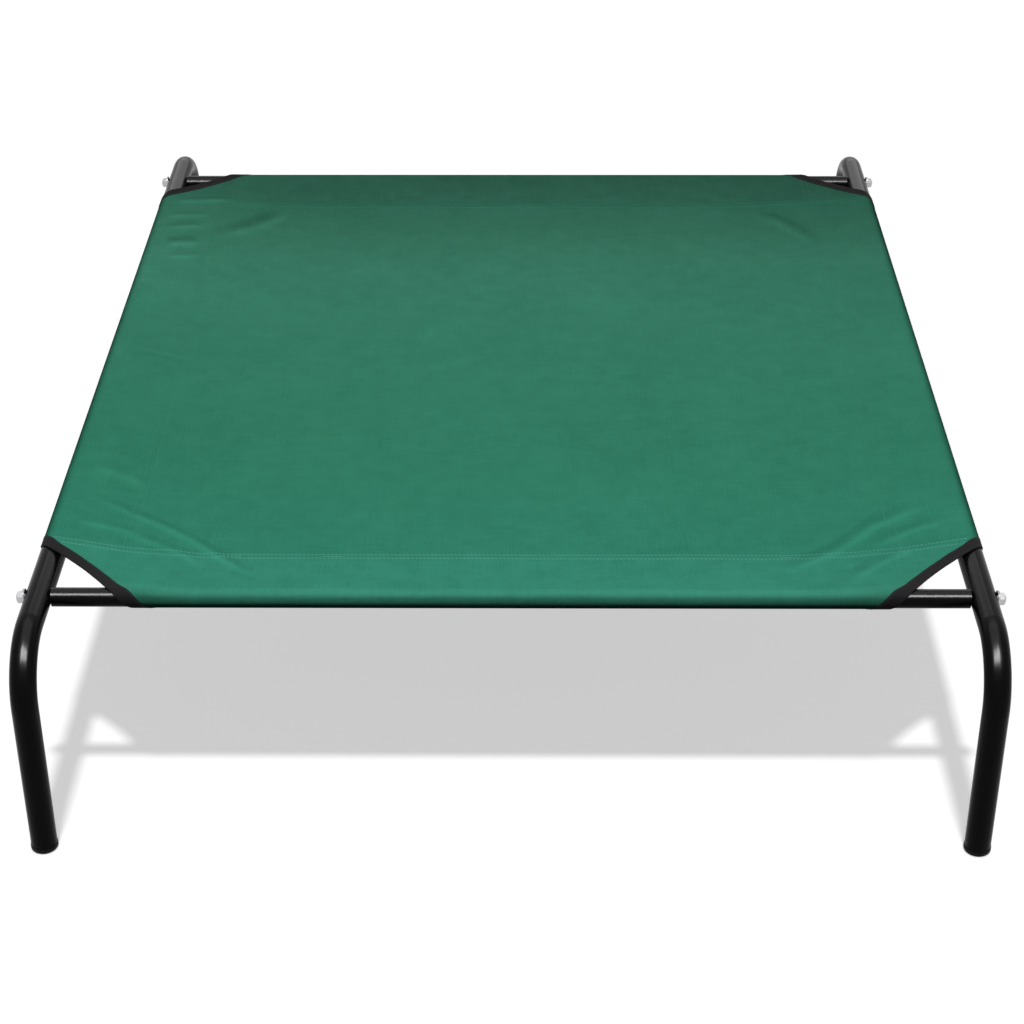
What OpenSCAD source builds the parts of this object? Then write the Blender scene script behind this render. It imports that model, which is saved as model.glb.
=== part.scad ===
// Raised dog cot: two bent side tubes that are rails and legs in one, two crossbars bolted
// between them, and a cloth cover sleeved over all four tubes. Millimetres, +Z up, the origin
// on the floor under the middle of the cot, X across it and Y along it.

/* [Frame] */
// Distance between the axes of the two side tubes
frame_w = 780; // [600:5:900]
// Distance between the axes of the two crossbars
bar_spacing = 854; // [650:2:1100]
// Height of the tube axes above the floor
axis_h = 192; // [160:1:260]
// Straight run of a side tube from a crossbar to the start of its bend
overhang = 40; // [25:1:70]
// Radius of the leg bends along the tube axis
bend_r = 49; // [40:1:75]
// Outer diameter of the side tubes
side_d = 22; // [19:1:25]
// Wall of the side tubes
side_wall = 1.2; // [0.8:0.1:2]
// Outer diameter of the crossbars
bar_d = 16; // [14:1:19]
// Wall of the crossbars
bar_wall = 1.2; // [0.8:0.1:1.6]

/* [Fasteners] */
// Diameter of the bolts
bolt_d = 6; // [5:1:7]
// Width of the bolt heads across their flats
head_af = 10; // [9:0.5:11]
// Height of the bolt heads
head_h = 6; // [4:0.5:7]
// Radius of the dome on top of a bolt head
head_dome_r = 8; // [7.5:0.5:14]
// Outer diameter of the washers
washer_d = 14; // [13:0.5:18]
// Thickness of the washers
washer_t = 1.6; // [1:0.2:2.4]
// Length of the threaded plugs in the crossbar ends
plug_len = 26; // [16:1:40]
// Length of bolt that is screwed into a plug
thread_len = 20; // [10:1:30]

/* [Feet] */
// Height of the rim that shows below a leg
foot_rim_h = 5; // [3:0.5:10]
// How far the rim stands out past the leg tube
foot_lip = 0.4; // [0:0.1:1.5]
// Radius of the rounded lower edge of the rim
foot_round = 2.2; // [1:0.1:2.8]
// Length of the plug inside the leg
foot_stem = 18; // [10:1:40]
// Wall of the plug inside the leg
foot_wall = 2; // [1.2:0.1:3]

/* [Cover] */
// Thickness of the cloth
cloth_t = 0.8; // [0.4:0.1:1.5]
// Distance from a tube axis to the seam of its sleeve
hem = 65; // [50:1:80]
// Width of the band where the hem is sewn to the panel
seam_lap = 4; // [2:0.5:8]
// Distance from a crossbar axis to the corner cut, along a side tube
cut_side = 58; // [45:1:75]
// Distance from a side tube axis to the corner cut, along a crossbar
cut_bar = 60; // [45:1:75]
// Depth of the hollow in the curved corner cut
cut_hollow = 3; // [1:0.5:8]
// Width of the binding tape on each side of the cloth
tape_w = 10; // [6:0.5:14]
// Thickness of the binding tape
tape_t = 0.4; // [0.3:0.1:0.8]

/* [Clearances] */
// Gap between two metal pieces that are screwed together
seat_gap = 0.1; // [0.05:0.05:0.3]
// Gap round a bolt in the holes of a side tube
hole_gap = 0.2; // [0.1:0.05:0.5]
// Gap round a bolt in its plug
thread_gap = 0.05; // [0.02:0.01:0.1]
// Gap round a plug in its tube
plug_gap = 0.05; // [0.02:0.01:0.15]
// Gap between the binding tape and a tube
tube_gap = 0.2; // [0.1:0.05:0.5]
// Gap between the binding tape and the cloth
tape_gap = 0.05; // [0.03:0.01:0.1]

/* [Hidden] */
$fn = 64;
// Steps in a full turn of the wide arcs of the corner cuts
cut_fn = 256;
// Each corner: its name, its side along X and its end along Y
CORNERS = [["front_left", -1, -1], ["front_right", 1, -1], ["rear_left", -1, 1], ["rear_right", 1, 1]];
SIDES = [["left", -1], ["right", 1]];
ENDS = [["front", -1], ["rear", 1]];

side_x = frame_w / 2;
bar_y = bar_spacing / 2;
side_r = side_d / 2;
bar_r = bar_d / 2;
straight_half = bar_y + overhang;
leg_y = straight_half + bend_r;
bend_z = axis_h - bend_r;

// Crossbar ends and washers seat on the side tubes
bar_end_x = side_x - side_r - seat_gap;
washer_x = side_x + side_r + seat_gap;
head_x = washer_x + washer_t + seat_gap;
bolt_len = head_x - bar_end_x + thread_len;
hole_d = bolt_d + 2 * hole_gap;

// Leg plug
stem_r = side_r - side_wall - plug_gap;
rim_r = side_r + foot_lip;

// The cloth leaves room round a tube for the inner fold of the tape
fold_t = tape_t + tape_gap;
hollow_gap = tube_gap + fold_t;
// The flat panel, with the laps under its seams
panel_w = frame_w - 2 * (hem - seam_lap);
panel_l = bar_spacing - 2 * (hem - seam_lap);
// How far the straight flanks of a sleeve start inside its round, so that the two cross
flank_sink = 0.1;
// Extra length of a cutting shape past the piece that it cuts
over = 1;

// The corner cut is an arc over the chord between its two ends
cut_chord = norm([cut_bar, cut_side]);
cut_r = (pow(cut_chord / 2, 2) + pow(cut_hollow, 2)) / (2 * cut_hollow);
cut_out = cut_r - cut_hollow;
cut_axis_x = cut_bar / 2 - cut_out * cut_side / cut_chord;
cut_axis_y = cut_side / 2 - cut_out * cut_bar / cut_chord;

frame_black = [0.09, 0.09, 0.1];
zinc = [0.75, 0.76, 0.78];
plastic_black = [0.06, 0.06, 0.065];
cloth_green = [0.19, 0.47, 0.38];
tape_black = [0.15, 0.16, 0.165];

// Solid of radius r along a side tube, from one leg end up, over and down to the other
module tube_run(r, leg_bottom) {
    translate([0, 0, axis_h])
        rotate([90, 0, 0])
            cylinder(h = 2 * straight_half, r = r, center = true);
    for (e = ENDS)
        mirror([0, e[1] < 0 ? 1 : 0, 0]) {
            translate([0, straight_half, bend_z])
                rotate([90, 0, 90])
                    rotate_extrude(angle = 90)
                        translate([bend_r, 0])
                            circle(r);
            translate([0, leg_y, leg_bottom])
                cylinder(h = bend_z - leg_bottom, r = r);
        }
}

module side_frame(side) {
    color(frame_black)
        translate([side * side_x, 0, 0])
            difference() {
                tube_run(side_r, foot_rim_h);
                tube_run(side_r - side_wall, foot_rim_h - over);
                for (e = ENDS)
                    translate([0, e[1] * bar_y, axis_h])
                        rotate([0, 90, 0])
                            cylinder(h = side_d + 2 * over, d = hole_d, center = true);
            }
}

module crossbar(end) {
    color(frame_black)
        translate([0, end * bar_y, axis_h])
            rotate([0, 90, 0])
                difference() {
                    cylinder(h = 2 * bar_end_x, r = bar_r, center = true);
                    cylinder(h = 2 * bar_end_x + 2 * over, r = bar_r - bar_wall, center = true);
                }
}

// Places a piece that is drawn along +Z so that it points outwards along a bolt's axis
module on_bolt_axis(c, x) {
    translate([c[1] * x, c[2] * bar_y, axis_h])
        rotate([0, c[1] * 90, 0])
            children();
}

module end_plug(c) {
    color(zinc)
        on_bolt_axis(c, bar_end_x - plug_len)
            difference() {
                cylinder(h = plug_len, r = bar_r - bar_wall - plug_gap);
                translate([0, 0, -over])
                    cylinder(h = plug_len + 2 * over, d = bolt_d + 2 * thread_gap);
            }
}

module bolt(c) {
    color(zinc)
        on_bolt_axis(c, head_x) {
            intersection() {
                cylinder(h = head_h, d = head_af / cos(30), $fn = 6);
                translate([0, 0, head_h - head_dome_r])
                    sphere(r = head_dome_r);
            }
            translate([0, 0, -bolt_len])
                cylinder(h = bolt_len, d = bolt_d);
        }
}

module washer(c) {
    color(zinc)
        on_bolt_axis(c, washer_x)
            difference() {
                cylinder(h = washer_t, d = washer_d);
                translate([0, 0, -over])
                    cylinder(h = washer_t + 2 * over, d = hole_d);
            }
}

// Half section of a foot: a rim with a rounded lower edge, and a hollow stem above it
module foot_section() {
    translate([rim_r - foot_round, foot_round])
        circle(foot_round);
    square([rim_r - foot_round, foot_rim_h]);
    translate([0, foot_round])
        square([rim_r, foot_rim_h - foot_round]);
    translate([stem_r - foot_wall, foot_rim_h - over])
        square([foot_wall, foot_stem + over]);
}

module foot(c) {
    color(plastic_black)
        translate([c[1] * side_x, c[2] * leg_y, 0])
            rotate_extrude()
                foot_section();
}

// Section of a sleeve: a round about the tube axis with straight flanks down to the seam
module sleeve_section(r, tip) {
    flank_r = r - flank_sink;
    lean = asin(flank_r / tip);
    circle(r);
    polygon([
        [0, 0],
        [flank_r * sin(lean), flank_r * cos(lean)],
        [tip, 0],
        [flank_r * sin(lean), -flank_r * cos(lean)]]);
}

// Solid sleeve of one tube, set in by a wall that is negative when it grows outwards
module sleeve(tube_r, length, wall) {
    outer_r = tube_r + hollow_gap + cloth_t;
    tip_lean = asin((outer_r - flank_sink) / hem);
    rotate([90, 0, 0])
        linear_extrude(length, center = true)
            sleeve_section(outer_r - wall, hem - wall / sin(tip_lean));
}

module side_sleeve(side, wall) {
    translate([side * side_x, 0, axis_h])
        mirror([side > 0 ? 1 : 0, 0, 0])
            sleeve(side_r, bar_spacing, wall);
}

module bar_sleeve(end, wall) {
    translate([0, end * bar_y, axis_h])
        rotate([0, 0, -end * 90])
            sleeve(bar_r, frame_w, wall);
}

// Upright post of radius r about the axis of a corner's cut
module cut_post(c, r) {
    post_h = 2 * side_d;
    translate([c[1] * (side_x - cut_axis_x), c[2] * (bar_y - cut_axis_y), axis_h - post_h / 2])
        cylinder(h = post_h, r = r, $fn = cut_fn);
}

module cover() {
    color(cloth_green)
        difference() {
            union() {
                for (s = SIDES)
                    side_sleeve(s[1], 0);
                for (e = ENDS)
                    bar_sleeve(e[1], 0);
                translate([0, 0, axis_h])
                    cube([panel_w, panel_l, cloth_t], center = true);
            }
            for (s = SIDES)
                side_sleeve(s[1], cloth_t);
            for (e = ENDS)
                bar_sleeve(e[1], cloth_t);
            for (c = CORNERS)
                cut_post(c, cut_r);
        }
}

// The two sleeves that meet at a corner, set in by a wall
module corner_sleeves(c, wall) {
    side_sleeve(c[1], wall);
    bar_sleeve(c[2], wall);
}

// Tape folded over the edge of the cut: what it fills, less the cloth's slot and the hollow
module corner_binding(c) {
    color(tape_black)
        difference() {
            intersection() {
                corner_sleeves(c, -fold_t);
                difference() {
                    cut_post(c, cut_r + tape_w);
                    cut_post(c, cut_r - fold_t);
                }
            }
            corner_sleeves(c, cloth_t + fold_t);
            difference() {
                corner_sleeves(c, -tape_gap);
                corner_sleeves(c, cloth_t + tape_gap);
                cut_post(c, cut_r - tape_gap);
            }
        }
}

for (s = SIDES)
    side_frame(s[1]);
for (e = ENDS)
    crossbar(e[1]);
for (c = CORNERS) {
    end_plug(c);
    bolt(c);
    washer(c);
    foot(c);
    corner_binding(c);
}
cover();
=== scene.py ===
import math

import bpy
import numpy as np
from mathutils import Matrix, Vector


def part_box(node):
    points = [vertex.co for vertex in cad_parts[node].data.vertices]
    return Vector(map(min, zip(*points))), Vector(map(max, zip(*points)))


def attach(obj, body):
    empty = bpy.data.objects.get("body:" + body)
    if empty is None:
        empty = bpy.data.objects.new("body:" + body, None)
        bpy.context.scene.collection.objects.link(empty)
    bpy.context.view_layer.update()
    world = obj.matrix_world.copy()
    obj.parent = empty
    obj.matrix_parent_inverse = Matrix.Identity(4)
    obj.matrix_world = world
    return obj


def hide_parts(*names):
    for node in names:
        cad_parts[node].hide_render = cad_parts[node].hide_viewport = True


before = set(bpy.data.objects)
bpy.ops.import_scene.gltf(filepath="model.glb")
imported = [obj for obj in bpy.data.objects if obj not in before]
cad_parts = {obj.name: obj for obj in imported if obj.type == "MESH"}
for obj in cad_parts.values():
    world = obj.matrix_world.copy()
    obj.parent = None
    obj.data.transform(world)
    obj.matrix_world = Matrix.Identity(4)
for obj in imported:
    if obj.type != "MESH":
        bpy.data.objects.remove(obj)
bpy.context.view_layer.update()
bpy.ops.object.select_all(action="DESELECT")
print("frame loaded with", len(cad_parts), "pieces")

# Measures that every piece shares, read from the frame
railLow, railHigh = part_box("side_frame_right")
barLow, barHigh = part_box("crossbar_rear")
railR = (railHigh.x - railLow.x) / 2
railX = (railHigh.x + railLow.x) / 2
axisZ = railHigh.z - railR
barR = (barHigh.z - barLow.z) / 2
barY = (barHigh.y + barLow.y) / 2
front, rear = -1, 1           # ways along y
corners = {
    "front_left": (-1, front),
    "front_right": (1, front),
    "rear_left": (-1, rear),
    "rear_right": (1, rear),
}
seam = {
    "hem": 0.0615,            # from a tube's axis to its seam
    # the two seams across the cloth are drawn inwards near the rails
    front: {"inset": 0.0615, "pull": 0.010, "near": 0.06, "far": 0.14},
    rear: {"inset": 0.0650, "pull": 0.014, "near": 0.0, "far": 0.07},
}

# Camera, where the photograph was taken from
cameraView = {
    "place": (0.0166, -1.9553, 1.2223),
    "yaw": -0.56,
    "pitch": 31.78,
    "roll": 0.20,
    "focalPixels": 2230.7,
    "imagePixels": 1024,
    "sensor": 36,
}


def makeCamera(view):
    yaw, pitch, roll = (math.radians(view[key]) for key in ("yaw", "pitch", "roll"))
    level = Vector((math.sin(yaw), math.cos(yaw), 0))
    across = Vector((math.cos(yaw), -math.sin(yaw), 0))
    ahead = level * math.cos(pitch) - Vector((0, 0, math.sin(pitch)))
    above = across.cross(ahead)
    right = across * math.cos(roll) - above * math.sin(roll)
    up = across * math.sin(roll) + above * math.cos(roll)
    bpy.ops.object.camera_add()
    camera = bpy.context.object
    turn = Matrix((right, up, -ahead)).transposed()
    camera.matrix_world = Matrix.Translation(view["place"]) @ turn.to_4x4()
    camera.data.sensor_width = view["sensor"]
    camera.data.lens = view["sensor"] * view["focalPixels"] / view["imagePixels"]
    bpy.context.scene.camera = camera


makeCamera(cameraView)
bpy.context.scene.view_settings.view_transform = "Standard"


# A socket that does arithmetic: an expression on it adds the Math nodes
class Wire:
    def __init__(self, tree, socket=None):
        self.tree = tree
        self.socket = socket

    def feed(self, target, value):
        if isinstance(value, Wire):
            self.tree.links.new(value.socket, target)
        else:
            target.default_value = value

    def add(self, kind, settings=None, inputs=None, out=0):
        node = self.tree.nodes.new(kind)
        for key, value in (settings or {}).items():
            if key == "stops":
                self.setStops(node.color_ramp.elements, value)
            else:
                setattr(node, key, value)
        for key, value in (inputs or {}).items():
            self.feed(node.inputs[key], value)
        return Wire(self.tree, node.outputs[out])

    def setStops(self, elements, stops):
        while len(elements) < len(stops):
            elements.new(1)
        for element, (position, colour) in zip(elements, stops):
            element.position = position
            element.color = (*colour, 1)

    def outputs(self, *names):
        # other outputs of the same node
        return [Wire(self.tree, self.socket.node.outputs[name]) for name in names]

    def maths(self, operation, *terms):
        return self.add("ShaderNodeMath", {"operation": operation}, dict(enumerate(terms)))

    def __add__(self, other):
        return self.maths("ADD", self, other)

    def __sub__(self, other):
        return self.maths("SUBTRACT", self, other)

    def __rsub__(self, other):
        return self.maths("SUBTRACT", other, self)

    def __mul__(self, other):
        return self.maths("MULTIPLY", self, other)

    def __truediv__(self, other):
        return self.maths("DIVIDE", self, other)

    def __rtruediv__(self, other):
        return self.maths("DIVIDE", other, self)

    __radd__ = __add__
    __rmul__ = __mul__

    def sine(self):
        return self.maths("SINE", self)

    def absolute(self):
        return self.maths("ABSOLUTE", self)

    def atLeast(self, limit):
        return self.maths("MAXIMUM", self, limit)

    def below(self, limit):
        return self.maths("LESS_THAN", self, limit)

    def above(self, limit):
        return self.maths("GREATER_THAN", self, limit)

    def clamped(self):
        return self.add("ShaderNodeClamp", None, {"Value": self})

    def eased(self):
        return self * self * (3 - 2 * self)

    def spread(self, least, extent):
        return self * extent + least

    def tint(self, low, high):
        # a colour between two, by this value
        settings = {"data_type": "RGBA", "clamp_factor": True}
        return self.add("ShaderNodeMix", settings, {0: self, 6: (*low, 1), 7: (*high, 1)}, out=2)

    def multipliedBy(self, colour):
        settings = {"data_type": "RGBA", "blend_type": "MULTIPLY"}
        return self.add("ShaderNodeMix", settings, {0: 1.0, 6: self, 7: colour}, out=2)

    def scaled(self, factor):
        return self.add("ShaderNodeVectorMath", {"operation": "SCALE"}, {0: self, "Scale": factor})


def startMaterial(name):
    material = bpy.data.materials.new(name)
    material.use_nodes = True
    shader = material.node_tree.nodes["Principled BSDF"]
    return material, shader, Wire(material.node_tree)


def noise(wire, vector, scale, detail=3, roughness=0.5):
    inputs = {"Vector": vector, "Scale": scale, "Detail": detail, "Roughness": roughness}
    return wire.add("ShaderNodeTexNoise", None, inputs)


def objectPlace(wire):
    return wire.add("ShaderNodeTexCoord", out="Object")


def flatPlace(wire):
    # where a point lies on the cloth spread flat
    flat = wire.add("ShaderNodeUVMap", {"uv_map": "flatCloth"})
    return wire.add("ShaderNodeSeparateXYZ", None, {"Vector": flat}).outputs("X", "Y")


def setFinish(shader, wire, look, colour, roughness, height):
    # what every finish has; its bump is a depth and a strength
    depth, strength = look["bump"]
    relief = wire.add("ShaderNodeBump", None, {"Height": height, "Distance": depth, "Strength": strength})
    wire.feed(shader.inputs["Base Color"], colour)
    wire.feed(shader.inputs["Roughness"], roughness)
    wire.feed(shader.inputs["Normal"], relief)
    shader.inputs["Specular IOR Level"].default_value = look["gloss"]


# Lamps, world and floor
studio = {
    "keyLean": 12.7,          # degrees off the vertical, towards the camera
    "keyHeight": 3,
    "keyAngle": 4,
    "keyPower": 1.5,
    "lamps": {
        "clothLamp": {"place": (0, -0.62, 1.15), "turn": 0, "size": (1.5, 0.3), "power": 7.0},
        "frameStrip": {"place": (0, -1.42, 2.3), "turn": 24, "size": (2.4, 0.8), "power": 860},
        "frameTop": {"place": (0, 0.35, 2.5), "turn": 0, "size": (3.0, 2.4), "power": 115},
        "frameBack": {"place": (0, 2.6, 1.5), "turn": -90, "size": (2.6, 1.8), "power": 42},
    },
    "worldLight": 0.05,
    "floorSize": 16,
    "floorSeen": (0.9, 0.9, 0.9),
    "floorBounce": (0.06, 0.06, 0.06),
    "floorGlow": 0.58,
}


def makeLamps():
    bpy.ops.object.light_add(type="SUN", location=(0, 0, studio["keyHeight"]))
    key = bpy.context.object
    key.name = "keyLamp"
    key.rotation_euler = (math.radians(studio["keyLean"]), 0, 0)
    key.data.angle = math.radians(studio["keyAngle"])
    key.data.energy = studio["keyPower"]
    for name, kit in studio["lamps"].items():
        bpy.ops.object.light_add(type="AREA", location=kit["place"])
        lamp = bpy.context.object
        lamp.name = name
        lamp.rotation_euler = (math.radians(kit["turn"]), 0, 0)
        lamp.data.shape = "RECTANGLE"
        lamp.data.size, lamp.data.size_y = kit["size"]
        lamp.data.energy = kit["power"]
        lamp.visible_diffuse = not name.startswith("frame")


def seenStraight(wire):
    # 1 on rays from the camera, off a glossy surface or through glass
    path = wire.add("ShaderNodeLightPath")
    camera, glossy, through = path.outputs("Is Camera Ray", "Is Glossy Ray", "Is Transmission Ray")
    return (camera + glossy + through).clamped()


def makeWorld():
    world = bpy.data.worlds.new("studioWorld")
    bpy.context.scene.world = world
    world.use_nodes = True
    wire = Wire(world.node_tree)
    sky = world.node_tree.nodes["Background"]
    sky.inputs["Color"].default_value = (1, 1, 1, 1)
    light = seenStraight(wire).spread(studio["worldLight"], 1 - studio["worldLight"])
    wire.feed(sky.inputs["Strength"], light)


def makeFloor():
    bpy.ops.mesh.primitive_plane_add(size=studio["floorSize"])
    floor = bpy.context.object
    floor.name = "floor"
    material, shader, wire = startMaterial("paleFloor")
    seen = seenStraight(wire)
    wire.feed(shader.inputs["Base Color"], seen.tint(studio["floorBounce"], studio["floorSeen"]))
    shader.inputs["Roughness"].default_value = 1.0
    shader.inputs["Specular IOR Level"].default_value = 0.0
    shader.inputs["Emission Color"].default_value = (1, 1, 1, 1)
    wire.feed(shader.inputs["Emission Strength"], seen * studio["floorGlow"])
    floor.data.materials.append(material)


makeLamps()
makeWorld()
makeFloor()
print("camera, lamps and floor are in place")

# Powder coat on the tubes; in every finish, rough is its least and how far it varies
powderLook = {
    "peel": 900,
    "cloud": 14,
    "colours": ((0.0035, 0.0035, 0.0039), (0.0055, 0.0055, 0.0061)),
    "rough": (0.17, 0.10),
    "bump": (0.00006, 0.35),
    "gloss": 0.04,
}


def makePowderCoat():
    material, shader, wire = startMaterial("blackPowderCoat")
    place = objectPlace(wire)
    peel = noise(wire, place, powderLook["peel"], detail=2)
    cloud = noise(wire, place, powderLook["cloud"])
    colour, rough = cloud.tint(*powderLook["colours"]), cloud.spread(*powderLook["rough"])
    setFinish(shader, wire, powderLook, colour, rough, peel)
    return material


# Zinc on the bolts, washers and plugs
zincLook = {
    "spangle": 260,
    "smear": 60,
    "colours": ((0.34, 0.34, 0.35), (0.54, 0.54, 0.55)),
    "rough": (0.14, 0.16),
    "bump": (0.00008, 0.4),
    "gloss": 0.5,
}


def makeZinc():
    material, shader, wire = startMaterial("zincPlate")
    place = objectPlace(wire)
    spangle = noise(wire, place, zincLook["spangle"], detail=4)
    smear = noise(wire, place, zincLook["smear"], detail=2)
    colour, rough = smear.tint(*zincLook["colours"]), spangle.spread(*zincLook["rough"])
    setFinish(shader, wire, zincLook, colour, rough, spangle)
    shader.inputs["Metallic"].default_value = 1.0
    return material


# Plastic of the feet
footLook = {
    "grain": 1400,
    "scuff": 90,
    "colours": ((0.0035, 0.0035, 0.004), (0.007, 0.007, 0.0075)),
    "rough": (0.42, 0.2),
    "bump": (0.0001, 0.5),
    "gloss": 0.08,
}


def makeFootPlastic():
    material, shader, wire = startMaterial("footPlastic")
    place = objectPlace(wire)
    grain = noise(wire, place, footLook["grain"], detail=2)
    scuff = noise(wire, place, footLook["scuff"], detail=4)
    colour, rough = scuff.tint(*footLook["colours"]), scuff.spread(*footLook["rough"])
    setFinish(shader, wire, footLook, colour, rough, grain)
    return material


# Canvas of the cover
clothLook = {
    "pitch": 0.0011,          # two threads
    "slub": (1500, 22),       # across a thread and along it
    "mottle": {"speck": 640, "cloud": 9, "blot": 52},
    "mottleRoughness": 0.6,
    "contrast": {"crossing": 0.14, "slub": 1.8, "speck": 0.75, "cloud": 0.7, "blot": 1.1},
    "colours": ((0.040, 0.219, 0.1375), (0.057, 0.287, 0.186)),
    "rough": (0.35, 0.3),
    "relief": {"crossing": 0.7, "slub": 0.6},
    "bump": (0.00016, 0.6),
    "gloss": 0.0,
    "rearLeftLight": 7.5,        # painted light: the rear left corner is lighter than the rear right
    # painted light and shade along the cloth, front hem to rear hem: a painted highlight over the front
    # roll, painted shade under it and towards the rear
    "lightRamp": [
        (-0.444, (0.66, 0.64, 0.66)),
        (-0.434, (0.89, 0.97, 1.03)),
        (-0.429, (0.89, 0.97, 1.03)),
        (-0.427, (0.78, 0.92, 0.96)),
        (-0.366, (0.78, 0.92, 0.96)),
        (-0.362, (0.66, 0.82, 0.84)),
        (-0.15, (0.77, 0.85, 0.83)),
        (0.12, (1.04, 0.98, 1.00)),
        (0.21, (1.15, 0.98, 1.01)),
        (0.30, (1.02, 0.83, 0.84)),
        (0.360, (0.89, 0.75, 0.76)),
        (0.364, (0.84, 0.65, 0.67)),
        (0.42, (0.75, 0.55, 0.57)),
    ],
}


def clothPatterns(wire, u, v):
    turns = 2 * math.pi / clothLook["pitch"]
    across, along = clothLook["slub"]
    warp = wire.add("ShaderNodeCombineXYZ", None, {"X": u * across, "Y": v * along})
    weft = wire.add("ShaderNodeCombineXYZ", None, {"X": u * along, "Y": v * across})
    patterns = {
        "crossing": (u * turns).sine() * (v * turns).sine() * 0.5 + 0.5,
        "slub": noise(wire, warp, 1.0, detail=2) * 0.5 + noise(wire, weft, 1.0, detail=2) * 0.5,
    }
    place = objectPlace(wire)
    for name, scale in clothLook["mottle"].items():
        patterns[name] = noise(wire, place, scale, roughness=clothLook["mottleRoughness"])
    return patterns


def paintedLightAlong(wire, u, v):
    # painted light and shade along the cloth; the front hem's lighter band, partly double cloth and partly
    # painted light, reaches up to its curved seam
    line = seam[front]
    away = ((railX - u.absolute() - line["near"]) / (line["far"] - line["near"])).clamped()
    drawn = (1 - away.eased()) * v.below(0.0) * line["pull"]
    stops = [(position + 0.5, colour) for position, colour in clothLook["lightRamp"]]
    return wire.add("ShaderNodeValToRGB", {"stops": stops}, {"Fac": v - drawn + 0.5})


def makeCloth():
    material, shader, wire = startMaterial("greenCanvas")
    u, v = flatPlace(wire)
    patterns = clothPatterns(wire, u, v)
    shade = 0.5 + sum((patterns[name] - 0.5) * weight for name, weight in clothLook["contrast"].items())
    # painted highlight and shade of the folds and painted shade on the sleeves' sides, read from the cloth
    paintedLightShade = wire.add("ShaderNodeAttribute", {"attribute_name": "creaseWear"}, out="Fac")
    # painted light: the rear left corner lighter, the rear right darker
    paintedSlant = u * u * u * v.atLeast(0.0) * clothLook["rearLeftLight"]
    # the colour is multiplied by the painted light and shade along the cloth
    colour = shade.tint(*clothLook["colours"]).multipliedBy(paintedLightAlong(wire, u, v)).scaled(paintedLightShade + 1 - paintedSlant)
    height = sum(patterns[name] * weight for name, weight in clothLook["relief"].items())
    setFinish(shader, wire, clothLook, colour, patterns["slub"].spread(*clothLook["rough"]), height)
    return material


# Tape over the cut corners
tapeLook = {
    "ribs": 6200,             # the ribs and cords cross on the slant
    "fuzz": 700,
    "contrast": (0.3, 0.2, 0.5),   # of the ribs, the cords and the fuzz
    "colours": ((0.025, 0.0238, 0.0255), (0.047, 0.0448, 0.0477)),
    "rearShade": 0.4,         # painted shade: the rear corners' tapes are darker
    "rough": (0.66, 0.2),
    "relief": (0.6, 0.4),
    "bump": (0.00018, 0.6),
    "gloss": 0.04,
}


def makeTape():
    material, shader, wire = startMaterial("bindingTape")
    u, v = flatPlace(wire)
    ribs = ((u + v) * tapeLook["ribs"]).sine() * 0.5 + 0.5
    cords = ((u - v) * tapeLook["ribs"]).sine() * 0.5 + 0.5
    fuzz = noise(wire, objectPlace(wire), tapeLook["fuzz"])
    shade = sum(pattern * weight for pattern, weight in zip((ribs, cords, fuzz), tapeLook["contrast"]))
    # painted shade darkens the rear corners' tapes
    colour = shade.tint(*tapeLook["colours"]).scaled(1 - v.above(0.0) * tapeLook["rearShade"])
    height = sum(pattern * weight for pattern, weight in zip((ribs, cords), tapeLook["relief"]))
    setFinish(shader, wire, tapeLook, colour, fuzz.spread(*tapeLook["rough"]), height)
    return material


# Threads; the side seams' thread darkens towards the rear with painted shade, as the cloth does there
threadLook = {
    "twist": 1600,
    "rough": (0.5, 0.2),
    "bump": (0.0001, 0.4),
    "fadeFrom": 0.22,
    "fadeOver": 0.20,
}
threadColoursAndShade = {
    "greenThread": {"colours": ((0.08, 0.325, 0.235), (0.115, 0.385, 0.285)), "gloss": 0.3, "fade": 0},
    "duskThread": {"colours": ((0.034, 0.215, 0.135), (0.044, 0.250, 0.160)), "gloss": 0.06, "fade": 0},
    "sideThread": {"colours": ((0.034, 0.215, 0.135), (0.044, 0.250, 0.160)), "gloss": 0.06, "fade": 0.45},
    "blackThread": {"colours": ((0.02, 0.021, 0.022), (0.05, 0.052, 0.054)), "gloss": 0.2, "fade": 0},
}


def makeThread(name):
    look = threadLook | threadColoursAndShade[name]
    material, shader, wire = startMaterial(name)
    place = objectPlace(wire)
    twist = noise(wire, place, look["twist"], detail=2)
    y = wire.add("ShaderNodeSeparateXYZ", None, {"Vector": place}, out="Y")
    # painted shade: the side thread darkens towards the rear
    kept = 1 - ((y - look["fadeFrom"]) / look["fadeOver"]).clamped() * look["fade"]
    colour, rough = twist.tint(*look["colours"]).scaled(kept), twist.spread(*look["rough"])
    setFinish(shader, wire, look, colour, rough, twist)
    return material


powderCoat = makePowderCoat()
zincPlate = makeZinc()
footPlastic = makeFootPlastic()
greenCanvas = makeCloth()
bindingTape = makeTape()
threads = {name: makeThread(name) for name in threadColoursAndShade}

nodeFinishes = {
    "side_frame": powderCoat,
    "crossbar": powderCoat,
    "end_plug": zincPlate,
    "bolt": zincPlate,
    "washer": zincPlate,
    "foot": footPlastic,
    "corner_binding": bindingTape,
    "cover": greenCanvas,
}
for nodeName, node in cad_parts.items():
    finish = next(nodeFinishes[start] for start in nodeFinishes if nodeName.startswith(start))
    for materialSlot in node.material_slots:
        materialSlot.material = finish
print("finishes are on the frame")


# Small helpers for modelling
def makeActive(obj):
    bpy.ops.object.select_all(action="DESELECT")
    obj.select_set(True)
    bpy.context.view_layer.objects.active = obj


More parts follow.
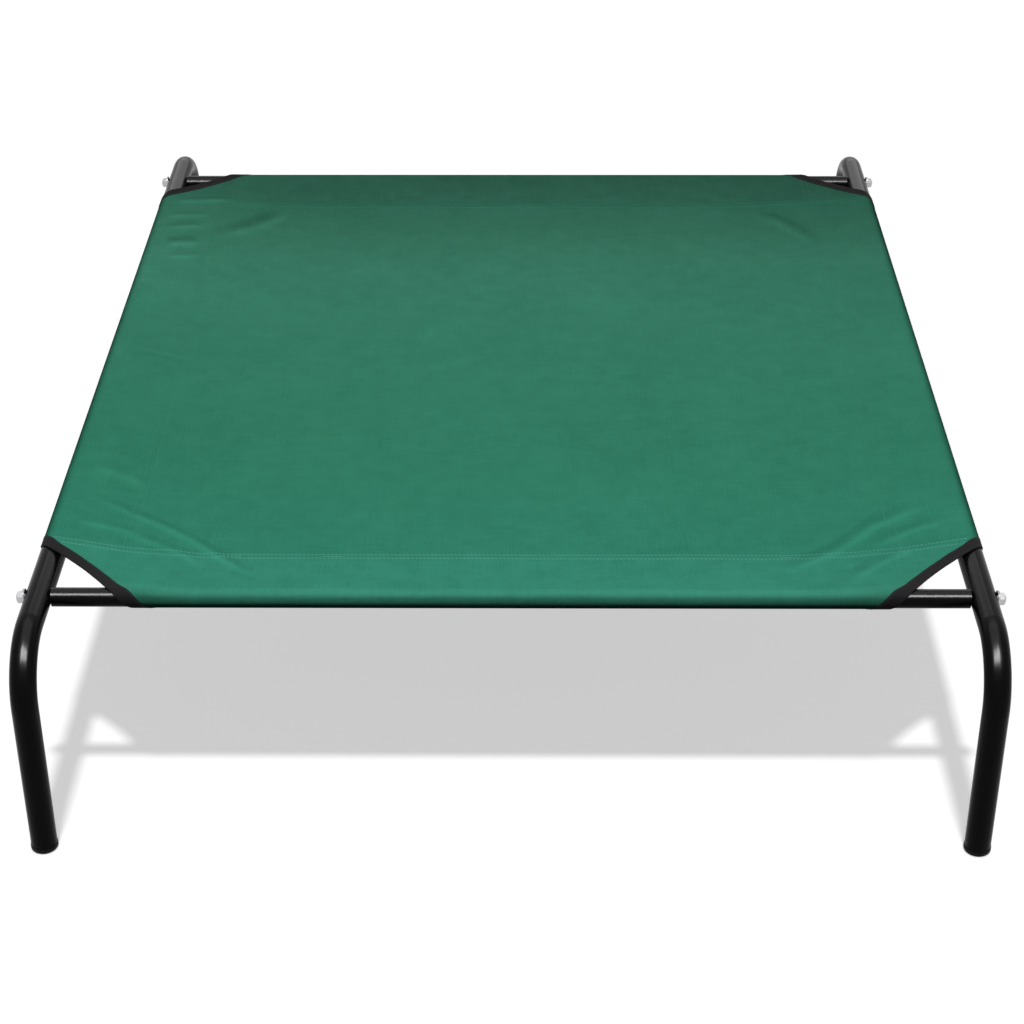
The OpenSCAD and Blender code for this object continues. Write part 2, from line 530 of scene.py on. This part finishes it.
def finishWith(obj, kind, **settings):
    makeActive(obj)
    bpy.ops.object.modifier_add(type=kind)
    modifier = obj.modifiers[-1]
    for key, value in settings.items():
        setattr(modifier, key, value)
    bpy.ops.object.modifier_apply(modifier=modifier.name)


def getPlaces(obj):
    places = np.empty(len(obj.data.vertices) * 3, np.float32)
    obj.data.vertices.foreach_get("co", places)
    return places.reshape(-1, 3).astype(float)


def setPlaces(obj, places):
    obj.data.vertices.foreach_set("co", places.astype(np.float32).ravel())
    obj.data.update()


def pickFaces(obj, chosen):
    # opens edit mode with these faces selected
    makeActive(obj)
    for parts in (obj.data.vertices, obj.data.edges):
        parts.foreach_set("select", np.zeros(len(parts), bool))
    obj.data.polygons.foreach_set("select", chosen)
    bpy.ops.object.mode_set(mode="EDIT")
    bpy.ops.mesh.select_mode(type="FACE")


def leaveEdit():
    bpy.ops.object.mode_set(mode="OBJECT")


def smoothMax(a, b, blend):
    near = np.maximum(blend - np.abs(a - b), 0) / blend
    return np.maximum(a, b) + near * near * blend / 4


def ease(value):
    value = np.clip(value, 0, 1)
    return value * value * (3 - 2 * value)


# Cover: one cloth over all four tubes, with a sleeve hemmed along each side
cover = {
    "thick": 0.0004,
    "lift": 0.0005,           # from a tube to the middle of the cloth
    "lap": 0.020,             # of the hem past its seam
    "layerGap": 0.0007,
    "sag": 0.006,
    "sagPower": 3,
    "blend": 0.003,           # rounding where the sleeves and the taut corners meet
    "seamBlend": 0.001,
    "cutRail": {front: 0.0570, rear: 0.0490},   # corner cut along the rail
    "cutBar": {front: 0.0575, rear: 0.0590},
    "cutHollow": {front: 0.0036, rear: 0.0008},
    "hollowReach": 0.035,
    "facetReach": {front: 0.0625, rear: 0.1200},   # the taut corners run in to here
    "facetInset": 0.003,      # and start here, inside the crests
    "facetDip": 0.0006,
    "tapeWidth": 0.0115,
    "tapeThick": 0.0010,
    "tapeProud": 0.0006,
    "tapeBevel": 0.0004,
    "bevelAngle": 60,
    "smoothAngle": 50,
    "foldProud": (0.0001, 0.0008),   # the pressed fold stands off the rails and bars
    "foldTurn": 44,           # where it lies, in degrees past the crest
    "foldSpread": 20,
    # grid lines: the panel's middle is plain, so they are far apart there
    "panelInner": 0.55,
    "innerSteps": 8,
    "middleFold": (-0.025, 0.010, 13),   # but closer along the fold half way
    "panelSteps": (50, 56),
    "flankSteps": 26,
    "crownSteps": 2,
    "wrapSteps": (16, 26),
    "flapSteps": 6,
    "lapSteps": 1,
}
railWrapR = railR + cover["lift"]
barWrapR = barR + cover["lift"]
wraps = ((railX, railWrapR), (barY, barWrapR))   # axis and radius of the sleeves, across x and y

# Creases, and the highlight and shade painted along them on the cloth
crease = {
    "rearWidth": 2.2,         # a fold falls this much more gently to the rear
    "fade": 3.2,              # it rises and ends within one part in this of its length
    "freeFrom": 0.004,        # the sleeves' crests are smooth
    "freeOver": 0.02,
    "ripple": 0.00022,        # faint unevenness all over
    "rippleX": (31, 1.3, 17),   # waves, sway, and waves of the sway
    "rippleY": (23, 1.7, 13),
    "rippleShift": 0.6,
    "paintedLightShade": 185,              # strength of a fold's painted highlight and shade, to its height
    "highlightBand": (-0.2, 0.65),   # middle and width, in the fold's half widths
    "shadeBand": (1.7, 1.2),
    "sideDepth": 0.55,        # depth of the painted shade on the sleeves' outer sides
    "sideFull": 46,           # degrees past the crest where it is full
    "sideEnd": 150,
    "sideFade": 60,
}
# Tension folds: path, height, half width, and the depth of the painted shade behind
ridges = [
    # front left
    ([(-0.382, -0.278), (-0.355, -0.288), (-0.331, -0.300), (-0.311, -0.313), (-0.291, -0.328),
      (-0.272, -0.344), (-0.256, -0.360), (-0.228, -0.392), (-0.192, -0.417)], 0.0015, 0.0038, 0.40),
    ([(-0.345, -0.326), (-0.319, -0.338), (-0.285, -0.360), (-0.255, -0.390)], 0.0012, 0.0038, 0.35),
    ([(-0.382, -0.320), (-0.357, -0.325), (-0.335, -0.327), (-0.312, -0.336)], 0.0010, 0.0040, 0.25),
    ([(-0.387, -0.232), (-0.357, -0.236), (-0.320, -0.252)], 0.0006, 0.0055, 0.4),
    # half way along the left side
    ([(-0.306, -0.013), (-0.334, -0.005), (-0.358, -0.002), (-0.386, -0.003)], 0.0004, 0.0038, 1.2),
    # front right
    ([(0.218, -0.406), (0.262, -0.370), (0.288, -0.346), (0.314, -0.317), (0.344, -0.299), (0.378, -0.287)],
     0.0012, 0.0060, 0.6),
    ([(0.308, -0.350), (0.327, -0.337), (0.344, -0.329), (0.376, -0.320)], 0.0011, 0.0050, 0.5),
    ([(0.278, -0.418), (0.300, -0.392), (0.318, -0.372), (0.350, -0.350)], 0.0010, 0.0050, 0.5),
    # rear left
    ([(-0.392, 0.345), (-0.384, 0.348), (-0.354, 0.355), (-0.332, 0.361), (-0.312, 0.363)],
     0.0016, 0.0044, 0.35),
    ([(-0.390, 0.308), (-0.360, 0.316), (-0.336, 0.323)], 0.0014, 0.0046, 0.4),
    ([(-0.388, 0.280), (-0.360, 0.288), (-0.338, 0.296)], 0.0015, 0.0048, 0.4),
    ([(-0.380, 0.238), (-0.354, 0.248), (-0.338, 0.255)], 0.0015, 0.0070, 0.95),
    ([(-0.375, 0.209), (-0.351, 0.218), (-0.334, 0.224)], 0.0010, 0.0050, 0.5),
    ([(-0.328, 0.268), (-0.304, 0.286), (-0.283, 0.303), (-0.270, 0.318), (-0.250, 0.350)],
     0.0010, 0.0084, 1.3),
    # rear right
    ([(0.258, 0.346), (0.287, 0.316), (0.309, 0.280), (0.326, 0.253)], 0.0009, 0.0064, 1.0),
]


def hemLengths(axis, radius):
    # along the cloth: half the panel, the sleeve's flank, up to the crest, round under; and the flank's lean
    lean = math.asin(radius / seam["hem"])
    flank = math.sqrt(seam["hem"] ** 2 - radius**2)
    return axis - seam["hem"], flank, radius * lean, radius * (math.pi + lean), lean


crestX, crestY = (sum(hemLengths(*wrap)[:3]) for wrap in wraps)


def insideCrests(flat, side, end):
    # distances of flat cloth inside a corner's two crests
    return crestX - side * flat[:, 0], crestY - end * flat[:, 1]


def sleeveTop(inside, radius):
    lean = math.asin(radius / seam["hem"])
    flank = (seam["hem"] - inside) * math.tan(lean)
    crown = np.sqrt(np.maximum(radius**2 - inside**2, 0))
    return np.where(inside < radius * math.sin(lean), crown, flank)


def cornerFacet(inX, inY, end):
    # taut plane from the rail's top to the bar's top to where the two seams meet
    points = np.array([
        (cover["facetInset"], cover["cutRail"][end], railWrapR - cover["facetDip"]),
        (cover["cutBar"][end], cover["facetInset"], barWrapR - cover["facetDip"]),
        (cover["facetReach"][end], cover["facetReach"][end], 0.0),
    ])
    plane = np.linalg.solve(np.c_[points[:, :2], np.ones(3)], points[:, 2])
    return plane[0] * inX + plane[1] * inY + plane[2]


def sleeves(x, y):
    inX, inY = railX - np.abs(x), barY - np.abs(y)
    return smoothMax(sleeveTop(inX, railWrapR), sleeveTop(inY, barWrapR), cover["blend"])


def panel(x, y):
    halfX, halfY = railX - seam["hem"], barY - seam["hem"]
    across, along = np.abs(x / halfX), np.abs(y / halfY)
    power = cover["sagPower"]
    dip = np.clip(1 - across**power, -1, 1) * np.clip(1 - along**power, -1, 1)
    return -cover["sag"] * np.where((across < 1) & (along < 1), dip, -np.abs(dip))


def besidePath(x, y, path):
    # share of the way along a path and the distance to its rear side, at its nearest point
    run, share, beside, nearest = 0, np.zeros_like(x), np.zeros_like(x), np.full_like(x, np.inf)
    for start, stop in zip(path, path[1:]):
        length = math.dist(start, stop)
        wayX, wayY = (stop[0] - start[0]) / length, (stop[1] - start[1]) / length
        along = np.clip((x - start[0]) * wayX + (y - start[1]) * wayY, 0, length)
        gapX, gapY = x - start[0] - along * wayX, y - start[1] - along * wayY
        gap = np.hypot(gapX, gapY)
        closer = gap < nearest
        share = np.where(closer, run + along, share)
        beside = np.where(closer, gap * np.sign(gapY * wayX - gapX * wayY), beside)
        nearest = np.minimum(gap, nearest)
        run += length
    return share / run, beside


def fadeEnds(share):
    return ease(share * crease["fade"]) * ease((1 - share) * crease["fade"])


def ripple(x, y):
    waveX, swayX, bendX = crease["rippleX"]
    waveY, swayY, bendY = crease["rippleY"]
    alongX = np.sin(x * waveX + swayX * np.sin(y * bendX))
    alongY = np.sin(y * waveY + swayY * np.sin(x * bendY + crease["rippleShift"]))
    return crease["ripple"] * (alongX * alongY)


def creases(x, y):
    height = np.zeros_like(x)
    for path, high, wide, _ in ridges:
        share, beside = besidePath(x, y, path)
        across = np.where(beside > 0, beside / crease["rearWidth"], beside) / wide
        height += high * fadeEnds(share) * np.exp(-(across**2))
    return height + ripple(x, y)


def band(across, middle, width):
    return np.exp(-(((across - middle) / width) ** 2))


def creaseWear(x, y):
    # a painted highlight along a fold's ridge, and painted shade on the cloth behind it
    paintedLightShade = np.zeros_like(x)
    for path, high, wide, shadeBehind in ridges:
        share, beside = besidePath(x, y, path)
        highlit, shaded = (band(beside / wide, *crease[name]) for name in ("highlightBand", "shadeBand"))
        paintedLightShade += high * crease["paintedLightShade"] * fadeEnds(share) * (highlit - shadeBehind * shaded)
    return paintedLightShade


def sideShade(flat):
    # painted shade on the outer sides of the rails' sleeves, from the crest down and back under
    turn = np.degrees((np.abs(flat[:, 0]) - crestX) / railWrapR)
    grown = np.clip(turn / crease["sideFull"], 0, 1) ** 2
    return crease["sideDepth"] * grown * ease((crease["sideEnd"] - turn) / crease["sideFade"])


def topHeight(x, y):
    inX, inY = railX - np.abs(x), barY - np.abs(y)
    facet = np.where(y < 0, cornerFacet(inX, inY, front), cornerFacet(inX, inY, rear))
    height = smoothMax(sleeves(x, y), facet, cover["blend"])
    height = smoothMax(height, panel(x, y), cover["seamBlend"])
    freeX, freeY = (ease((inside - crease["freeFrom"]) / crease["freeOver"]) for inside in (inX, inY))
    return height + creases(x, y) * freeX * freeY


def underHeight(x, y):
    return -smoothMax(sleeves(x, y), cover["layerGap"] - panel(x, y), cover["seamBlend"])


def flatStops(axis, radius, panelSteps, wrapSteps):
    # grid lines across the flat cloth, closer where it bends
    start, flank, crown, wrap, _ = hemLengths(axis, radius)
    inner = start * cover["panelInner"]
    stretches = (
        (inner, cover["innerSteps"]),
        (start - inner, panelSteps),
        (flank, cover["flankSteps"]),
        (crown, cover["crownSteps"]),
        (wrap, wrapSteps),
        (flank, cover["flapSteps"]),
        (cover["lap"], cover["lapSteps"]),
    )
    half = [0]
    for length, steps in stretches:
        half.extend(half[-1] + length * np.arange(1, steps + 1) / steps)
    return np.r_[-np.array(half[:0:-1]), half]


def unroll(flat, axis, radius, proud):
    # where a line of the flat cloth comes to lie: distance out, layer, and height on the tube
    start, flank, crown, wrap, lean = hemLengths(axis, radius)
    run = np.abs(flat) - start
    turn = (run - flank - crown) / radius
    flap = run - flank - crown - wrap
    tangent = radius * math.sin(lean)
    slope = (seam["hem"] - tangent) / flank
    fold = (np.degrees(turn) - cover["foldTurn"]) / cover["foldSpread"]
    reach = radius + proud * np.exp(-(fold**2))
    out = np.select(
        [run < 0, run < flank, flap < 0, flap < flank],
        [start + run, start + run * slope, axis + reach * np.sin(turn), axis - tangent - flap * slope],
        start - flap + flank)
    return np.sign(flat) * out, (turn > 0).astype(int) + (flap > 0), reach * np.cos(turn)


def wrapCloth(flat):
    x, layerX, riseX = unroll(flat[:, 0], railX, railWrapR, cover["foldProud"][0])
    y, layerY, riseY = unroll(flat[:, 1], barY, barWrapR, cover["foldProud"][1])
    crest = topHeight(np.clip(x, -railX, railX), np.clip(y, -barY, barY))
    overRail = riseX + (crest - railWrapR) * np.maximum(riseX / railWrapR, 0)
    overBar = riseY + (crest - barWrapR) * np.maximum(riseY / barWrapR, 0)
    under = underHeight(x, y)
    rules = [layerX == 1, layerY == 1, (layerX == 2) | (layerY == 2)]
    return np.c_[x, y, axisZ + np.select(rules, [overRail, overBar, under], crest)]


def cutLine(end):
    # unit normal of a corner's cut, inwards, as distances inside the rail's and the bar's crest
    normal = np.array((1 / cover["cutBar"][end], 1 / cover["cutRail"][end]))
    return normal / np.linalg.norm(normal)


def pastCut(flat, side, end):
    # distance inside the cut of one corner
    normal = cutLine(end)
    inX, inY = insideCrests(flat, side, end)
    return normal[0] * inX + normal[1] * (inY - cover["cutRail"][end])


def drawIn(flat):
    # the cut edges hollow a little where the cloth pulls
    moved = flat[:, :2].copy()
    for side, end in corners.values():
        rail, bar = cover["cutRail"][end], cover["cutBar"][end]
        normal = cutLine(end)
        inX, inY = insideCrests(flat, side, end)
        part = np.clip((inX * bar + (rail - inY) * rail) / math.hypot(rail, bar) ** 2, 0, 1)
        depth = np.maximum(pastCut(flat, side, end), 0)
        near = np.exp(-((depth / cover["hollowReach"]) ** 2))
        pull = cover["cutHollow"][end] * 4 * part * (1 - part) * near
        moved[:, 0] -= side * normal[0] * pull
        moved[:, 1] -= end * normal[1] * pull
    return moved


def cutAcross(obj, side, end, inset, clear):
    normal = cutLine(end)
    rail = cover["cutRail"][end]
    point = (side * (crestX - normal[0] * inset), end * (crestY - rail - normal[1] * inset), 0)
    makeActive(obj)
    bpy.ops.object.mode_set(mode="EDIT")
    bpy.ops.mesh.select_all(action="SELECT")
    bpy.ops.mesh.bisect(plane_co=point, plane_no=(side * normal[0], end * normal[1], 0), clear_outer=clear)
    leaveEdit()


def layFlat():
    # the cloth spread flat, its map the same as its shape
    stopsX = flatStops(railX, railWrapR, cover["panelSteps"][0], cover["wrapSteps"][0])
    stopsY = flatStops(barY, barWrapR, cover["panelSteps"][1], cover["wrapSteps"][1])
    stopsY = np.union1d(stopsY, np.linspace(*cover["middleFold"]))
    bpy.ops.object.select_all(action="DESELECT")
    bpy.ops.mesh.primitive_grid_add(x_subdivisions=len(stopsX) - 1, y_subdivisions=len(stopsY) - 1, size=2)
    cloth = bpy.context.object
    cloth.name = "cot_cover"
    grid = (getPlaces(cloth)[:, :2] + 1) / 2
    column = np.rint(grid[:, 0] * (len(stopsX) - 1)).astype(int)
    row = np.rint(grid[:, 1] * (len(stopsY) - 1)).astype(int)
    flat = np.c_[stopsX[column], stopsY[row], np.zeros(len(row))]
    setPlaces(cloth, flat)
    flatMap = cloth.data.uv_layers.active
    flatMap.name = "flatCloth"
    loopVertices = np.empty(len(cloth.data.loops), np.int32)
    cloth.data.loops.foreach_get("vertex_index", loopVertices)
    flatMap.data.foreach_set("uv", flat[loopVertices, :2].astype(np.float32).ravel())
    return cloth, (stopsX[-1] - stopsX[0], stopsY[-1] - stopsY[0])


def cutTapes(cloth):
    # each corner's edge faces are copied off as the tape that is folded over them
    tapes = {}
    for name, (side, end) in corners.items():
        cutAcross(cloth, side, end, 0, True)
        cutAcross(cloth, side, end, cover["tapeWidth"], False)
        centres = np.empty(len(cloth.data.polygons) * 3, np.float32)
        cloth.data.polygons.foreach_get("center", centres)
        inside = pastCut(centres.reshape(-1, 3), side, end)
        pickFaces(cloth, inside < cover["tapeWidth"])
        bpy.ops.mesh.duplicate()
        bpy.ops.mesh.separate(type="SELECTED")
        leaveEdit()
        tape = next(obj for obj in bpy.context.selected_objects if obj != cloth)
        tape.name = "binding_tape_" + name
        tapes[name] = tape
        cutAcross(cloth, side, end, cover["tapeProud"], True)
    return tapes


clothPiece, clothFlat = layFlat()
print("cloth laid flat on", len(clothPiece.data.polygons), "faces, size", clothFlat)
tapePieces = cutTapes(clothPiece)
flatPlaces = drawIn(getPlaces(clothPiece))
clothPlaces = wrapCloth(flatPlaces)
setPlaces(clothPiece, clothPlaces)
# painted highlight and shade of the folds, less painted shade on the sleeves' sides, kept on the cloth for
# its material
shadingLayer = clothPiece.data.attributes.new("creaseWear", "FLOAT", "POINT")
foldShading = np.where(clothPlaces[:, 2] > axisZ, creaseWear(clothPlaces[:, 0], clothPlaces[:, 1]), 0)
shadingLayer.data.foreach_set("value", (foldShading - sideShade(flatPlaces)).astype(np.float32))
finishWith(clothPiece, "SOLIDIFY", thickness=cover["thick"], offset=0)
bpy.ops.object.shade_smooth_by_angle(angle=math.radians(cover["smoothAngle"]))
clothPiece.data.materials.append(greenCanvas)
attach(clothPiece, "root")
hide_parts("cover")

for name, tape in tapePieces.items():
    setPlaces(tape, wrapCloth(drawIn(getPlaces(tape))))
    finishWith(tape, "SOLIDIFY", thickness=cover["tapeThick"], offset=0)
    finishWith(tape, "BEVEL", width=cover["tapeBevel"], segments=2, limit_method="ANGLE",
               angle_limit=math.radians(cover["bevelAngle"]))
    bpy.ops.object.shade_smooth_by_angle(angle=math.radians(cover["smoothAngle"]))
    tape.data.materials.clear()
    tape.data.materials.append(bindingTape)
    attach(tape, "root")
    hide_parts("corner_binding_" + name)
print("binding tapes folded over the corners")

# Stitching
stitch = {
    "long": 0.0027,
    "pitch": 0.0034,
    "wide": 0.00075,
    "high": 0.00045,
    "sides": 6,
    "rings": 4,
    "rowGap": 0.0068,
    "rowPoints": 400,         # along the whole cloth
    "fewestPoints": 10,       # what the tapes leave of a shorter row isn't sewn
    "backtacks": [(-0.246, -0.226), (-0.160, -0.140), (0.228, 0.240)],   # along the front seam
    "tackPoints": 20,
    "tapeClear": 0.001,       # from the tapes to the ends of the seams
    "tapeInset": 0.0017,
    "tapeRun": (-1.6, 2.6),   # along the cut, from its rail end 0 to its bar end 1, and round under
    "tapePoints": 500,
    "probe": 0.0004,          # for the way the cloth faces
}


def onCloth(flat):
    # points on the wrapped cloth and the way it faces there
    slopes = []
    for shift in np.eye(2) * stitch["probe"]:
        slopes.append(wrapCloth(drawIn(flat + shift)) - wrapCloth(drawIn(flat - shift)))
    normals = np.cross(*slopes)
    return wrapCloth(drawIn(flat)), normals / np.linalg.norm(normals, axis=1)[:, None]


def readAlong(run, path, values):
    return np.c_[[np.interp(run, path, values[:, axis]) for axis in range(3)]].T


def sewRow(flat, lift, material):
    # one stitch is modelled, repeated in a straight row and laid along the line
    points, normals = onCloth(flat)
    points = points + normals * lift
    path = np.r_[0, np.cumsum(np.linalg.norm(np.diff(points, axis=0), axis=1))]
    bpy.ops.object.select_all(action="DESELECT")
    bpy.ops.mesh.primitive_uv_sphere_add(segments=stitch["sides"], ring_count=stitch["rings"], radius=0.5)
    row = bpy.context.object
    bpy.ops.object.mode_set(mode="EDIT")
    bpy.ops.transform.rotate(value=math.pi / 2, orient_axis="Y", center_override=(0, 0, 0))
    bpy.ops.transform.resize(value=(stitch["long"], stitch["wide"], stitch["high"]))
    bpy.ops.transform.translate(value=(stitch["pitch"] / 2, 0, 0))
    leaveEdit()
    finishWith(row, "ARRAY", count=int(path[-1] / stitch["pitch"]), use_relative_offset=False,
               use_constant_offset=True, constant_offset_displace=(stitch["pitch"], 0, 0))
    local = getPlaces(row)
    up = readAlong(local[:, 0], path, normals)
    ahead = readAlong(local[:, 0], path, np.gradient(points, path, axis=0))
    sideways = np.cross(up, ahead)
    middle = readAlong(local[:, 0], path, points)
    setPlaces(row, middle + sideways * local[:, 1:2] + up * local[:, 2:3])
    bpy.ops.object.shade_smooth()
    row.data.materials.append(material)
    return row


def joinRows(rows, name):
    makeActive(rows[0])
    for row in rows:
        row.select_set(True)
    bpy.ops.object.join()
    rows[0].name = name
    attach(rows[0], "root")
    return rows[0]


def seamInset(u, end):
    line = seam[end]
    away = ease((crestX - np.abs(u) - line["near"]) / (line["far"] - line["near"]))
    return line["inset"] + line["pull"] * (1 - away)


def clearOfTapes(flat):
    inside = [pastCut(flat, side, end) for side, end in corners.values()]
    return np.min(inside, axis=0) > cover["tapeWidth"] + stitch["tapeClear"]


def seamLines():
    # each line of stitches on the flat cloth, its thread, and the way it lies across
    u, v = (np.linspace(-crest, crest, stitch["rowPoints"]) for crest in (crestX, crestY))
    lines = []
    for offset in (-stitch["rowGap"] / 2, stitch["rowGap"] / 2):
        side = np.c_[np.full_like(v, seam["hem"] + offset - railX), v]
        lines += [
            (np.c_[u, seamInset(u, front) + offset - barY], threads["greenThread"], 1),
            (np.c_[u, barY - seamInset(u, rear) + offset], threads["duskThread"], 1),
            (side, threads["sideThread"], 0),
            (side * (-1, 1), threads["sideThread"], 0),
        ]
    for start, stop in stitch["backtacks"]:
        u = np.linspace(start, stop, stitch["tackPoints"])
        lines.append((np.c_[u, seamInset(u, front) - barY], threads["greenThread"], 1))
    return lines


def underneath(line, across):
    # the same stitches where they come through the hem below
    start, flank, crown, wrap, _ = hemLengths(*wraps[across])
    bothWays = 2 * start + 2 * flank + crown + wrap
    line = line.copy()
    line[:, across] = np.sign(line[:, across]) * (bothWays - np.abs(line[:, across]))
    return line


def seamRows(name, lines):
    kept = [(line[clearOfTapes(line)], thread) for line, thread, _ in lines]
    kept = [(line, thread) for line, thread in kept if len(line) >= stitch["fewestPoints"]]
    return joinRows([sewRow(line, cover["thick"] / 2, thread) for line, thread in kept], name)


def tapeRow(side, end):
    normal = cutLine(end)
    rail, bar = cover["cutRail"][end], cover["cutBar"][end]
    inset = cover["tapeWidth"] - stitch["tapeInset"]
    part = np.linspace(*stitch["tapeRun"], stitch["tapePoints"])
    flat = np.c_[
        side * (crestX - bar * part - normal[0] * inset),
        end * (crestY - rail * (1 - part) - normal[1] * inset)]
    return sewRow(flat, cover["tapeThick"] / 2, threads["blackThread"])


seamPiece = seamRows("seam_stitching", seamLines())
hemLines = [(underneath(line, across), thread, across) for line, thread, across in seamLines()]
hemPiece = seamRows("hem_stitching", hemLines)
tapeSeams = joinRows([tapeRow(side, end) for side, end in corners.values()], "binding_stitching")
print("stitching sewn")

# One lamp lights the cloth alone, and the others only shine off the frame
tubes = [node for name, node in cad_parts.items() if name.startswith(("side_frame", "crossbar"))]
for name in studio["lamps"]:
    lit = bpy.data.collections.new(name + "Pieces")
    for piece in tubes if name.startswith("frame") else (clothPiece, seamPiece, hemPiece):
        lit.objects.link(piece)
    bpy.data.objects[name].light_linking.receiver_collection = lit
